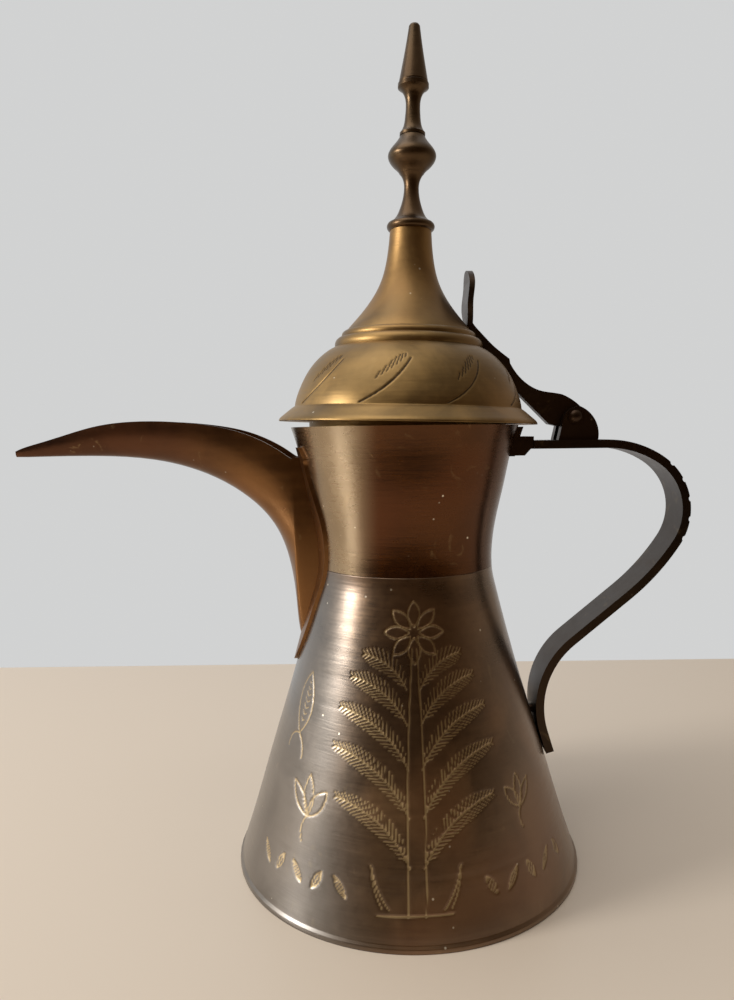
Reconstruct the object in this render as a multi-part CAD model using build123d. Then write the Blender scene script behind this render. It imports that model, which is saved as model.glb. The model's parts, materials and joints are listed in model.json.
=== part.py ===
from build123d import *
import math
import os

# A dallah: a brass coffee pot with a beak spout, a strap handle and a hinged lid.
# Millimetres, +Z up. The origin is the middle of the base, on the surface it stands on.
# The beak points along -X, the handle along +X.

# ---- Driving dimensions -------------------------------------------------------------
FOOT_RADIUS = 61.3        # lip that the pot stands on
FOOT_HEIGHT = 2.0         # height of that lip
SEAM_RADIUS = 30.9        # at the waist, where the skirt of the body meets the neck
SEAM_HEIGHT = 105.8
RIM_RADIUS = 40.0         # mouth of the neck
RIM_HEIGHT = 154.5
BODY_WALL = 1.4
LAP = 5.0                 # how far the neck is slipped into the skirt
BASE_THICKNESS = 1.6

LID_WALL = 1.1
LID_EDGE_RADIUS = 45.2    # edge of the lid's flared brim
LID_EDGE_HEIGHT = 155.6
DOME_RADIUS = 39.75       # where the brim turns into the dome
DOME_HEIGHT = 160.8
SPIRE_RADIUS = 21.9       # foot of the spire
SPIRE_FOOT = 187.2
SPIRE_TOP = 221.8
SPIRE_TOP_RADIUS = 7.2
SEAT_GAP = 1.35           # between rim and seat ring, on the axis
LID_LEAN = 1.5            # degrees that the shut lid leans to the handle, on its bent arm
LID_SHIFT = 1.2           # how far it sits towards the handle
COLLAR_RADIUS = 34.6      # collar that drops into the mouth
COLLAR_DEPTH = 5.0

FINIAL_TIP = 290.0
STUD_RADIUS = 1.3

STRAP_WIDTH = 15.0
STRAP_THICKNESS = 2.9
STRAP_TOP = 149.0         # upper face of the handle's straight run
BLOCK_FACE = 44.7         # outer face of the block that carries the handle
BLOCK_WIDTH = 14.0
SADDLE_THICKNESS = 1.8
NOTCH_RADIUS = 1.2        # filed cuts across the strap's shoulder
NOTCH_RAISE = 0.7         # how far their centres stand off the strap

PIN_X = 59.5
PIN_Z = 157.3
PIN_RADIUS = 1.6
PIN_PLAY = 0.05           # radial clearance of the lid arm on the pin
WASHER_THICKNESS = 0.4
EAR_GAP = 4.6
EAR_THICKNESS = 3.4
ARM_THICKNESS = 4.0

SPOUT_WALL = 1.3
FLANGE_THICKNESS = 1.2
OPEN_ABOVE = 6.0          # how far the trough's hollow is cut above its edges
STRAINER_HOLE = 3.6
STRAINER_PITCH = 6.6      # between rows of strainer holes
LOWEST_STRAINER_ROW = 111.0
STRAINER_SPACING = 6.4    # between holes in a row


# ---- Helpers -------------------------------------------------------------------------
def beside(line, distance, count=14):
    """A line running alongside another, to its left, at a constant distance."""
    points = []
    for step in range(count + 1):
        at = step / count
        along = line % at
        points.append(line @ at + Vector(-along.Y, along.X) * distance)
    return Spline(*points)


def turned(*lines):
    """A solid of revolution from lines that close an outline of radius and height."""
    return revolve(Plane.XZ * make_face(Curve() + list(lines)), Axis.Z)


def turned_outline(*points):
    """A solid of revolution from straight runs between points."""
    return turned(Polyline(*points, close=True))


def turned_sheet(line, wall):
    """A turned sheet with its outer face on the line and its wall to the line's left."""
    inner = beside(line, wall)
    return turned(line, Line(line @ 1, inner @ 1), inner, Line(inner @ 0, line @ 0))


def rod(radius, start, end):
    """A round rod between two points."""
    start = Vector(*start)
    axis = Vector(*end) - start
    place = Plane(origin=start, z_dir=axis)
    return extrude(place * Circle(radius), axis.length)


def slab(x, y, z):
    """A box from its limits along each axis."""
    middle = ((x[0] + x[1]) / 2, (y[0] + y[1]) / 2, (z[0] + z[1]) / 2)
    return Pos(*middle) * Box(x[1] - x[0], y[1] - y[0], z[1] - z[0])


def side_plate(outline, thickness, middle=0.0):
    """A plate cut to an outline drawn in the pot's side view, centred on Y = middle."""
    face = Plane.XZ * outline
    return Pos(0, middle, 0) * extrude(face, thickness / 2, both=True)


# ---- Body -----------------------------------------------------------------------------
def skirt_line():
    """Outer line of the conical skirt, from the foot up to the seam."""
    return Spline(
        (FOOT_RADIUS - 0.8, FOOT_HEIGHT),
        (58.1, 9.5),
        (50.0, 36.0),
        (40.5, 67.0),
        (32.2, 98.2),
        (SEAM_RADIUS, SEAM_HEIGHT),
        tangents=((-0.27, 1), (-0.05, 1)),
    )


def neck_line():
    """Outer line of the neck, from the seam, in at the waist and out to the mouth."""
    return Spline(
        (SEAM_RADIUS, SEAM_HEIGHT),
        (32.0, 120.5),
        (34.9, 133.8),
        (37.6, 146.5),
        (RIM_RADIUS, RIM_HEIGHT),
        tangents=((-0.05, 1), (0.36, 1)),
    )


def foot_lip():
    """The lip under the skirt, upright at the bottom and rounded into the skirt."""
    return ThreePointArc(
        (FOOT_RADIUS, 1.0),
        (FOOT_RADIUS - 0.25, 1.7),
        (FOOT_RADIUS - 0.8, FOOT_HEIGHT),
    )


def body_envelope(grow=0.0):
    """Everything inside the outer surface of skirt and neck, grown by a little."""
    lines = []
    for line in (skirt_line(), neck_line()):
        lines.append(beside(line, -grow, 24) if grow else line)
    low, high = lines[0] @ 0, lines[1] @ 1
    rest = Polyline((high.X, high.Y), (0, high.Y), (0, low.Y), (low.X, low.Y))
    return turned(*lines, rest)


def make_lower_body():
    line = skirt_line()
    inner = beside(line, BODY_WALL)
    foot = Polyline(
        (FOOT_RADIUS, 1.0),
        (FOOT_RADIUS, 0),
        (FOOT_RADIUS - BODY_WALL - 0.9, 0),
        inner @ 0,
    )
    return turned(line, Line(line @ 1, inner @ 1), inner, foot, foot_lip())


def make_base_plate(lower_body):
    disc = Pos(0, 0, BASE_THICKNESS / 2) * Cylinder(FOOT_RADIUS - 1.5, BASE_THICKNESS)
    return disc - lower_body


def make_neck(lower_body):
    """The neck with its spigot inside the skirt, and the strainer behind the spout."""
    sheet = turned_sheet(neck_line(), BODY_WALL)
    bottom = SEAM_HEIGHT - LAP
    slope = 0.12
    outer = SEAM_RADIUS - BODY_WALL / 2
    spigot = turned_outline(
        (outer - 2 * BODY_WALL, SEAM_HEIGHT),
        (outer, SEAM_HEIGHT),
        (outer + LAP * slope, bottom),
        (outer + LAP * slope - 2 * BODY_WALL, bottom),
    )
    spigot = spigot - lower_body
    spigot = max(spigot.solids(), key=lambda piece: -piece.bounding_box().max.X)
    neck = (sheet + spigot) & slab((-60, 60), (-60, 60), (0, RIM_HEIGHT))
    for hole in strainer_holes():
        neck = neck - hole
    return neck


def strainer_holes():
    """Staggered rows of holes through the wall behind the spout."""
    holes = []
    for row in range(5):
        z = LOWEST_STRAINER_ROW + STRAINER_PITCH * row
        count = 2 + row % 2
        for column in range(count):
            y = (column - (count - 1) / 2) * STRAINER_SPACING
            holes.append(rod(STRAINER_HOLE / 2, (-24, y, z), (-44, y, z)))
    return holes


# ---- Spout ------------------------------------------------------------------------------
def spout_stations():
    """Where the beak is measured: X, height of its edge, height of its keel, half width."""
    return (
        (-30.0, 142.6, 74.0, 11.6),
        (-38.9, 144.0, 90.0, 12.0),
        (-44.0, 147.2, 115.5, 12.0),
        (-55.4, 152.7, 129.8, 11.6),
        (-70.0, 155.9, 138.4, 10.4),
        (-89.0, 157.2, 143.7, 8.2),
        (-108.0, 155.6, 145.2, 5.6),
        (-120.0, 152.5, 145.3, 3.7),
        (-129.5, 149.9, 145.2, 2.3),
        (-137.9, 147.2, 145.2, 1.1),
    )


def beak_section(x, top, keel, half, spare):
    """One upright section: a half ellipse under the edges, open or closed above them."""
    plane = Plane(origin=(x, 0, top), x_dir=(0, 1, 0), z_dir=(1, 0, 0))
    bowl = EllipticalCenterArc((0, 0), half, top - keel, start_angle=180, arc_size=180)
    if spare:
        cover = Polyline((half, 0), (half, spare), (-half, spare), (-half, 0))
    else:
        cover = Line((half, 0), (-half, 0))
    return plane * make_face(Curve() + [bowl, cover])


def beak_floor(stations, index, wall):
    """Height of the trough's floor, so that its wall stays true where the keel is steep."""
    x, keel = stations[index][0], stations[index][2]
    slope = 0.0
    if index + 1 < len(stations):
        slope = (stations[index + 1][2] - keel) / (x - stations[index + 1][0])
    return keel + wall * math.hypot(1, slope)


def make_spout():
    """The beak: an open trough with a pointed tip, and the flange round its root."""
    stations = spout_stations()
    outer = []
    inner = []
    for index, (x, top, keel, half) in enumerate(stations):
        wall = min(SPOUT_WALL, 0.45 * half)
        floor = beak_floor(stations, index, wall)
        outer.append(beak_section(x, top, keel, half, 0))
        inner.append(beak_section(x, top, floor, half - wall, OPEN_ABOVE))
    beak = loft(outer)
    hollow = loft(inner)
    flange = (body_envelope(FLANGE_THICKNESS) - body_envelope()) & flange_prism()
    body = beak + flange - hollow - body_envelope()
    return max(body.solids(), key=lambda piece: piece.volume)


def flange_prism():
    """A bar along X whose section is the leaf-shaped outline of the flange."""
    outline = Spline(
        (0, 70.6),
        (8.5, 78.0),
        (12.5, 92.0),
        (15.4, 110.0),
        (16.2, 126.0),
        (15.6, 143.0),
        (13.5, 147.6),
        tangents=((1, 0.25), (-0.7, 1)),
    )
    mirrored = outline.mirror(Plane.YZ)
    lid = Line(outline @ 1, mirrored @ 1)
    plane = Plane(origin=(-60, 0, 0), x_dir=(0, 1, 0), z_dir=(1, 0, 0))
    section = plane * make_face(Curve() + [outline, lid, mirrored])
    return extrude(section, 40)


# ---- Handle ------------------------------------------------------------------------------
def handle_path(offset):
    """The strap's run from the block, over the bend and down to the foot.

    Starts on the strap's upper face and is moved offset towards its inner face.
    """
    bends = (
        (-34.6, 33.9),
        (-22.9, 88.8),
        (-82.5, 17.5),
    )
    line = Line((BLOCK_FACE, STRAP_TOP - offset), (70.2, STRAP_TOP - offset))
    path = [line]
    for radius, turn in bends:
        reach = radius + offset
        path.append(JernArc(path[-1] @ 1, path[-1] % 1, abs(reach), -turn))
    path.append(Line(path[-1] @ 1, path[-1] @ 1 + (path[-1] % 1) * 25.7))
    path.append(JernArc(path[-1] @ 1, path[-1] % 1, 29.5 + offset, 67.2))
    path.append(Line(path[-1] @ 1, path[-1] @ 1 + (path[-1] % 1) * 8.0))
    return path


def make_handle_strap():
    outer = handle_path(0)
    inner = handle_path(STRAP_THICKNESS)
    ends = [Line(outer[0] @ 0, inner[0] @ 0), Line(outer[-1] @ 1, inner[-1] @ 1)]
    strap = side_plate(make_face(Curve() + outer + inner + ends), STRAP_WIDTH)
    for notch in edge_notches(outer):
        strap = strap - notch
    return strap - body_envelope()


def edge_notches(path):
    """Filed cuts across the outer face, round the shoulder of the bend."""
    bend = path[2]
    cuts = []
    for step in range(5):
        share = 0.12 + 0.2 * step
        along = bend % share
        at = bend @ share + Vector(-along.Y, along.X) * NOTCH_RAISE
        cuts.append(rod(NOTCH_RADIUS, (at.X, -STRAP_WIDTH, at.Y), (at.X, STRAP_WIDTH, at.Y)))
    return cuts


def make_saddle():
    """Curved plate brazed on the neck behind the block."""
    band = body_envelope(SADDLE_THICKNESS) - body_envelope()
    return band & slab((20, 60), (-8, 8), (143.6, 153.8))


def make_block():
    """Block between the saddle and the strap, with its lower outer corner cut away."""
    outline = Polyline(
        (34, 143.8),
        (41.6, 143.8),
        (43.7, 146.1),
        (BLOCK_FACE, 146.1),
        (BLOCK_FACE, 150.4),
        (34, 150.4),
        close=True,
    )
    block = side_plate(make_face(outline), BLOCK_WIDTH)
    return block - body_envelope(SADDLE_THICKNESS)


def make_upper_rivet():
    """Rivet from the block through saddle and neck, headed inside the neck."""
    z = 146.4
    inside = 34.6
    shank = rod(1.5, (inside, 0, z), (BLOCK_FACE - 1.2, 0, z))
    head = rod(2.6, (inside, 0, z), (inside + 1.0, 0, z))
    return shank + head


def foot_rivet_places():
    """Points on the strap's outer face, with the direction out of the wall."""
    path = handle_path(0)
    last = path[-1]
    arc = path[-2]
    places = []
    for line, at in ((arc, 0.82), (last, 0.45)):
        out = line % at
        places.append((line @ at, Vector(-out.Y, out.X)))
    return places


def make_foot_rivets():
    """Two rivets flush with the strap, headed inside the skirt."""
    rivets = []
    for place, out in foot_rivet_places():
        start = (place.X, 0, place.Y)
        end = (place.X - out.X * 7.0, 0, place.Y - out.Y * 7.0)
        shank = rod(1.6, start, end)
        head = rod(3.4, end, (place.X - out.X * 5.6, 0, place.Y - out.Y * 5.6))
        rivets.append(shank + head)
    return rivets


# ---- Hinge -------------------------------------------------------------------------------
def ear_outline():
    """Upright ear with a rounded top, standing on the handle strap."""
    right = ThreePointArc((67.4, STRAP_TOP), (66.2, 156.0), (60.9, 160.7))
    left = ThreePointArc((60.9, 160.7), (56.9, 159.0), (54.8, 154.4))
    foot = Polyline((54.8, 154.4), (53.6, STRAP_TOP), (67.4, STRAP_TOP))
    return make_face(Curve() + [right, left, foot])


def make_ear(side):
    middle = side * (EAR_GAP + EAR_THICKNESS) / 2
    return side_plate(ear_outline(), EAR_THICKNESS, middle)


def pin_line(reach):
    return (PIN_X, -reach, PIN_Z), (PIN_X, reach, PIN_Z)


def ear_face():
    return EAR_GAP / 2 + EAR_THICKNESS


def make_hinge_pin():
    """Pin with both ends peened over washers."""
    face = ear_face() + WASHER_THICKNESS
    pin = rod(PIN_RADIUS, *pin_line(face))
    for side in (-1, 1):
        dome = Pos(PIN_X, side * (face - 1.9), PIN_Z) * Sphere(2.8)
        cap = dome & slab((50, 70), sorted((side * face, side * (face + 2))), (150, 165))
        pin = pin + cap
    return pin


def make_hinge_washers():
    washers = []
    for side in (-1, 1):
        inside = (PIN_X, side * ear_face(), PIN_Z)
        outside = (PIN_X, side * (ear_face() + WASHER_THICKNESS), PIN_Z)
        washers.append(rod(2.75, inside, outside) - rod(PIN_RADIUS, *pin_line(9)))
    return washers


# ---- Lid ---------------------------------------------------------------------------------
def leaned(lid_part):
    """A part of the lid, drawn upright, set as the shut lid leans on the pot."""
    return Pos(LID_SHIFT, 0, PIN_Z) * Rot(0, LID_LEAN, 0) * Pos(0, 0, -PIN_Z) * lid_part


def brim_line():
    return Spline(
        (LID_EDGE_RADIUS, LID_EDGE_HEIGHT + 0.5),
        (43.3, 158.0),
        (DOME_RADIUS, DOME_HEIGHT),
        tangents=((-0.5, 1), (-1, 0.55)),
    )


def dome_line():
    return Spline(
        (DOME_RADIUS, DOME_HEIGHT),
        (37.9, 167.3),
        (34.4, 174.0),
        (28.6, 179.9),
        (20.0, 184.0),
        tangents=((-0.12, 1), (-1, 0.42)),
    )


def lid_envelope():
    """Everything inside the dome's outer surface, with the foot of the spire."""
    dome = dome_line()
    return turned(dome, Polyline((20.0, 184.0), (0, 184.0), (0, DOME_HEIGHT), dome @ 0))


def make_lid_dome():
    """Dome and flared brim, spun from one sheet and open at the top."""
    dome = dome_line()
    brim = brim_line()
    under_dome = beside(dome, LID_WALL)
    under_brim = beside(brim, LID_WALL, 8)
    lip = Polyline(
        brim @ 0,
        (LID_EDGE_RADIUS, LID_EDGE_HEIGHT),
        (LID_EDGE_RADIUS - 0.9, LID_EDGE_HEIGHT),
        under_brim @ 0,
    )
    top = Line(dome @ 1, under_dome @ 1)
    crease = Line(under_brim @ 1, under_dome @ 0)
    return turned(brim, dome, top, under_dome, crease, under_brim, lip)


def make_lid_collar(dome):
    """Seat ring that rests over the rim, with the collar that drops into the mouth."""
    seat = RIM_HEIGHT + SEAT_GAP
    ring = turned_outline(
        (COLLAR_RADIUS - 1.0, seat - COLLAR_DEPTH),
        (COLLAR_RADIUS, seat - COLLAR_DEPTH),
        (COLLAR_RADIUS, seat),
        (LID_EDGE_RADIUS - 1.2, seat),
        (LID_EDGE_RADIUS - 1.2, seat + 1.0),
        (COLLAR_RADIUS - 1.0, seat + 1.0),
    )
    return ring - dome


def make_spire_ring(envelope):
    """Two rounded bands round the foot of the spire, soldered on the dome."""
    upper = ThreePointArc((21.9, SPIRE_FOOT), (23.3, 186.4), (23.5, 185.0))
    lower = ThreePointArc((23.5, 185.0), (25.4, 183.9), (25.6, 181.2))
    rest = Polyline(
        (25.6, 181.2),
        (25.6, 178.0),
        (19.0, 178.0),
        (19.0, SPIRE_FOOT),
        (21.9, SPIRE_FOOT),
    )
    ring = turned(upper, lower, rest) - envelope
    return ring - Pos(0, 0, 180) * Cylinder(19.6, 20)


def spire_line():
    return Spline(
        (SPIRE_RADIUS, SPIRE_FOOT),
        (17.6, 192.3),
        (12.7, 199.1),
        (9.6, 205.8),
        (8.1, 212.5),
        (SPIRE_TOP_RADIUS, SPIRE_TOP),
        tangents=((-0.8, 1), (-0.06, 1)),
    )


def make_spire():
    """Hollow spire with a solid crown that the finial's stud passes through."""
    line = spire_line()
    inner = beside(line, LID_WALL)
    sheet = turned(line, Line(line @ 1, inner @ 1), inner, Line(inner @ 0, line @ 0))
    sheet = sheet & slab((-30, 30), (-30, 30), (SPIRE_FOOT, SPIRE_TOP))
    crown = turned(line, Polyline(line @ 1, (0, SPIRE_TOP), (0, SPIRE_FOOT), line @ 0))
    crown = crown & slab((-30, 30), (-30, 30), (SPIRE_TOP - 2.0, SPIRE_TOP))
    return sheet + crown - rod(STUD_RADIUS, (0, 0, 200), (0, 0, 240))


def make_finial_foot():
    """Collar that flares from the spire and draws in to a thin stem."""
    rim = ThreePointArc((7.4, SPIRE_TOP), (8.3, 223.2), (7.6, 224.5))
    stem = Spline(
        (7.6, 224.5),
        (4.0, 229.0),
        (2.6, 235.0),
        (4.1, 241.0),
        tangents=((-1, 0.4), (0.8, 1)),
    )
    rest = Polyline((4.1, 241.0), (0, 241.0), (0, SPIRE_TOP), (7.4, SPIRE_TOP))
    return turned(rim, stem, rest) - rod(STUD_RADIUS, (0, 0, 200), (0, 0, 270))


def make_finial_bead():
    belly = Spline(
        (4.2, 241.0),
        (6.3, 243.3),
        (8.3, 246.8),
        (6.3, 250.4),
        (4.2, 253.6),
        tangents=((0.5, 1), (-0.35, 1)),
    )
    rest = Polyline((4.2, 253.6), (0, 253.6), (0, 241.0), (4.2, 241.0))
    return turned(belly, rest) - rod(STUD_RADIUS, (0, 0, 200), (0, 0, 270))


def make_finial_spike():
    """Upper stem and tapering spike, bored from below for the stud."""
    ring = Polyline((0, 253.6), (4.4, 253.6), (4.4, 254.5))
    stem = Spline(
        (4.4, 254.5),
        (2.6, 260.4),
        (5.3, 269.4),
        tangents=((-0.9, 1), (0.9, 0.5)),
    )
    groove = Polyline((5.3, 269.4), (5.3, 270.6), (4.95, 270.9), (4.95, 271.4))
    taper = Spline(
        (4.95, 271.4),
        (3.3, 280.4),
        (1.9, FINIAL_TIP - 0.6),
        tangents=((-0.18, 1), (-0.14, 1)),
    )
    tip = Polyline((1.9, FINIAL_TIP - 0.6), (1.5, FINIAL_TIP), (0, FINIAL_TIP), (0, 253.6))
    return turned(ring, stem, groove, taper, tip) - rod(STUD_RADIUS, (0, 0, 250), (0, 0, 266))


def make_stud():
    """Stud that holds the finial's three turned pieces on the spire."""
    return rod(STUD_RADIUS, (0, 0, SPIRE_TOP - 6.0), (0, 0, 266))


def make_stud_nut():
    """Hexagonal nut under the spire's crown."""
    place = Plane(origin=(0, 0, SPIRE_TOP - 4.6))
    nut = extrude(place * RegularPolygon(3.0, 6), 2.2)
    washer = Pos(0, 0, SPIRE_TOP - 2.2) * Cylinder(4.4, 0.4)
    bore = rod(STUD_RADIUS, (0, 0, 200), (0, 0, 240))
    return nut - bore, washer - bore


# ---- Lid arm ----------------------------------------------------------------------------
def arm_outline():
    """Hinge arm in side view, from the shoulder of the dome to the knuckle."""
    top = Spline(
        (36.6, 177.3),
        (40.8, 171.0),
        (47.6, 166.5),
        (55.6, 165.0),
        tangents=((0.5, -1), (1, -0.25)),
    )
    nose = ThreePointArc((55.6, 165.0), (60.4, 162.2), (62.6, 160.2))
    knuckle = ThreePointArc((62.6, 160.2), (63.4, 155.2), (58.4, 152.9))
    under = Polyline((58.4, 152.9), (51.0, 154.6), (37.2, 168.5), (28, 168), (28, 177))
    back = Line((28, 177), (36.6, 177.3))
    return make_face(Curve() + [top, nose, knuckle, under, back])


def strap_outline():
    """The arm's flat strap, which follows the dome and the bands above it."""
    outside = Spline(
        (23.6, 190.2),
        (26.6, 186.4),
        (30.8, 182.0),
        (36.6, 177.3),
        tangents=((0.5, -1), (0.9, -0.7)),
    )
    inside = Polyline((36.6, 177.3), (37.4, 172.0), (30, 172), (21.9, SPIRE_FOOT), (21.9, 190.2))
    return make_face(Curve() + [outside, inside, Line((21.9, 190.2), (23.6, 190.2))])


def make_thumb_leaf():
    """Upright leaf for the thumb: a thin plate, wide and round at the top."""
    face = Spline(
        (21.9, 189.0),
        (21.6, 197.0),
        (22.2, 203.0),
        (21.9, 208.0),
        tangents=((0, 1), (-0.1, 1)),
    )
    back = beside(face, -1.9)
    foot = Line(face @ 0, back @ 0)
    tip = Line(face @ 1, back @ 1)
    plate = side_plate(make_face(Curve() + [face, tip, back, foot]), 18.0)
    view = Plane(origin=(15, 0, 0), x_dir=(0, 1, 0), z_dir=(1, 0, 0))
    outline = Spline(
        (-4.6, 188.5),
        (-8.6, 196.0),
        (-8.2, 203.5),
        (0, 208.0),
        (8.2, 203.5),
        (8.6, 196.0),
        (4.6, 188.5),
        tangents=((-0.6, 1), (-0.6, -1)),
    )
    window = view * make_face(Curve() + [outline, Line(outline @ 1, outline @ 0)])
    return plate & extrude(window, 20)


def make_lid_arm(envelope, ring):
    arm = side_plate(arm_outline(), ARM_THICKNESS)
    strap = side_plate(strap_outline(), 9.0)
    arm = arm + strap + make_thumb_leaf()
    arm = arm - leaned(envelope) - leaned(ring) - leaned(spire_clearance())
    arm = arm - rod(PIN_RADIUS + PIN_PLAY, *pin_line(9))
    return max(arm.solids(), key=lambda piece: piece.volume)


def spire_clearance():
    """The spire's own volume, so that nothing on the arm runs into it."""
    line = spire_line()
    return turned(line, Polyline(line @ 1, (0, SPIRE_TOP), (0, SPIRE_FOOT), line @ 0))


def make_arm_rivets():
    """Two rivets through strap and dome, flush outside and headed inside."""
    rivets = []
    for at in (0.34, 0.58):
        line = dome_line()
        place = line @ at
        along = line % at
        out = Vector(along.Y, -along.X)
        start = (place.X + out.X * 1.6, 0, place.Y + out.Y * 1.6)
        end = (place.X - out.X * 2.3, 0, place.Y - out.Y * 2.3)
        inner = (place.X - out.X * 1.35, 0, place.Y - out.Y * 1.35)
        rivets.append(rod(1.3, end, start) + rod(2.6, end, inner))
    return rivets


# ---- Whole pot ----------------------------------------------------------------------------
def joined(pieces):
    """Several separate solids kept in one node."""
    return Compound(children=list(pieces))


def bored(piece, tools):
    """A piece with the room for its fasteners cut out."""
    for tool in tools:
        piece = piece - tool
    return piece


def make_pot():
    """Every node by name: first what stands still, then the lid."""
    return {**make_fixed_parts(), **make_lid_parts()}


def make_fixed_parts():
    parts = {}
    upper_rivet = make_upper_rivet()
    foot_rivets = make_foot_rivets()
    lower_body = make_lower_body()
    parts["lower_body"] = bored(lower_body, foot_rivets)
    parts["base_plate"] = make_base_plate(lower_body)
    parts["neck"] = bored(make_neck(lower_body), [upper_rivet])
    parts["spout"] = make_spout()

    pin_bore = rod(PIN_RADIUS, *pin_line(9))
    parts["handle_saddle"] = bored(make_saddle(), [upper_rivet])
    parts["handle_block"] = bored(make_block(), [upper_rivet])
    parts["handle_strap"] = bored(make_handle_strap(), foot_rivets)
    parts["handle_upper_rivet"] = upper_rivet
    parts["handle_foot_rivets"] = joined(foot_rivets)
    parts["hinge_ear_near"] = make_ear(-1) - pin_bore
    parts["hinge_ear_far"] = make_ear(1) - pin_bore
    parts["hinge_pin"] = make_hinge_pin()
    parts["hinge_washers"] = joined(make_hinge_washers())
    return parts


def make_lid_parts():
    parts = {}
    arm_rivets = make_arm_rivets()
    envelope = lid_envelope()
    dome = make_lid_dome()
    ring = make_spire_ring(envelope)
    nut, washer = make_stud_nut()
    parts["lid_dome"] = bored(dome, arm_rivets)
    parts["lid_collar"] = make_lid_collar(dome)
    parts["spire_ring"] = ring
    parts["spire"] = make_spire()
    parts["finial_foot"] = make_finial_foot()
    parts["finial_bead"] = make_finial_bead()
    parts["finial_spike"] = make_finial_spike()
    parts["finial_stud"] = make_stud()
    parts["stud_nut"] = nut
    parts["stud_washer"] = washer
    parts = {name: leaned(part) for name, part in parts.items()}
    arm_rivets = [leaned(rivet) for rivet in arm_rivets]
    parts["lid_arm"] = bored(make_lid_arm(envelope, ring), arm_rivets)
    parts["lid_arm_rivets"] = joined(arm_rivets)
    return parts


os.makedirs("parts", exist_ok=True)
for name, part in make_pot().items():
    export_step(part, f"parts/{name}.step")
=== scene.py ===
import json
import math

import bpy
import numpy as np
from bpy.props import FloatProperty, FloatVectorProperty, IntProperty, PointerProperty
from mathutils import Matrix, Vector
from mathutils.bvhtree import BVHTree


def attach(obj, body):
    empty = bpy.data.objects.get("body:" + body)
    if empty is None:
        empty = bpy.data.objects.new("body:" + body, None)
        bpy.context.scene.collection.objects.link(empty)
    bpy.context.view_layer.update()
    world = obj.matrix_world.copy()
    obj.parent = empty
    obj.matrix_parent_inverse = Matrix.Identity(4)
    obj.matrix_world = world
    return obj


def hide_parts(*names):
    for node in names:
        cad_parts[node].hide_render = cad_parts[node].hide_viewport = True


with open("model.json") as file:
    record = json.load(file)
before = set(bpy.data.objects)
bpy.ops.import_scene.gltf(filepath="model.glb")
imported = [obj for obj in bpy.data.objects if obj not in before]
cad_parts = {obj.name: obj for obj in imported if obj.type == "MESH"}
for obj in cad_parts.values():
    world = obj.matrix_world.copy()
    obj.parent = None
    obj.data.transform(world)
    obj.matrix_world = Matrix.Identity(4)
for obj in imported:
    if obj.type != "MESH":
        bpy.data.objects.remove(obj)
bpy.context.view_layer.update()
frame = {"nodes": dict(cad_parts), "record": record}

bl_info = {
    "name": "Dallah coffee pot",
    "version": (1, 0, 0),
    "blender": (4, 5, 0),
    "location": "3D View > Sidebar > Coffee pot",
    "description": "Engraved and aged brass coffee pot round its fixed frame",
    "category": "Object",
}

MM = 0.001
SLOT_OF_NODE = {
    part["node"]: part["material_slot"] for part in frame["record"]["subparts"]
}


# ---- Sizes and colours that a user would change --------------------------------------------
def colour(name, description, default):
    return FloatVectorProperty(
        name=name, description=description, default=default, subtype="COLOR",
        size=3, min=0.0, max=1.0,
    )


def length(name, description, default_mm):
    return FloatProperty(
        name=name, description=description, default=default_mm * MM, unit="LENGTH",
        min=0.0, precision=5,
    )


class PotColours(bpy.types.PropertyGroup):
    """Colours of the aged brass on each part of the pot."""

    skirt: colour("Skirt", "Grey-brown patina of the conical body", (0.165, 0.096, 0.046))
    neck: colour("Neck", "Red-brown patina of the neck", (0.108, 0.037, 0.006))
    spout: colour("Spout", "Copper-brown patina of the beak", (0.070, 0.027, 0.010))
    handle: colour("Handle", "Dark brown patina of the handle", (0.040, 0.023, 0.011))
    lid: colour("Lid", "Golden brown of the lid", (0.230, 0.140, 0.048))
    finial: colour("Finial", "Brown of the turned finial", (0.085, 0.051, 0.022))
    metal: colour("Bare brass", "Brass that hands have rubbed bare", (0.620, 0.440, 0.210))
    # Bright brass bared by the cut. Where it shows strongest it also paints the lines' glints.
    cut: colour("Skirt engraving", "Bright metal in the skirt's lines", (0.520, 0.380, 0.190))
    dome_cut: colour("Dome engraving", "Dirt in the dome's lines", (0.024, 0.013, 0.006))


class PotEngraving(bpy.types.PropertyGroup):
    """How the lines are cut into the skirt and the dome."""

    line_width: length("Line width", "Width of the long engraved lines", 0.66)
    hatch_width: length("Hatch width", "Width of the short strokes", 0.50)
    depth: length("Depth", "Depth of the long engraved lines", 0.24)
    hatch_pitch: length("Hatch pitch", "Distance between neighbouring short strokes", 1.35)
    grid: length("Grid", "Spacing of the skirt's mesh under the engraving", 0.36)
    dome_leaves: IntProperty(
        name="Dome leaves", description="Leaves engraved round the dome", default=9, min=1, max=24
    )


class PotStage(bpy.types.PropertyGroup):
    """Light, floor and camera round the pot."""

    window: FloatProperty(
        name="Window", description="Power of the soft light at the left",
        default=9.0, min=0.0, unit="POWER",
    )
    fill: FloatProperty(
        name="Fill", description="Power of the soft light overhead",
        default=5.0, min=0.0, unit="POWER",
    )
    floor: colour("Floor", "Colour of the floor", (0.74, 0.63, 0.51))
    backdrop: colour("Backdrop", "Colour behind the pot", (0.64, 0.645, 0.645))
    camera_distance: FloatProperty(
        name="Camera distance", description="From the pot's axis to the camera, along Y",
        default=0.2677, min=0.05, unit="LENGTH",
    )
    camera_height: FloatProperty(
        name="Camera height", description="Height of the camera above the floor",
        default=0.1525, min=0.0, unit="LENGTH",
    )


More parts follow.
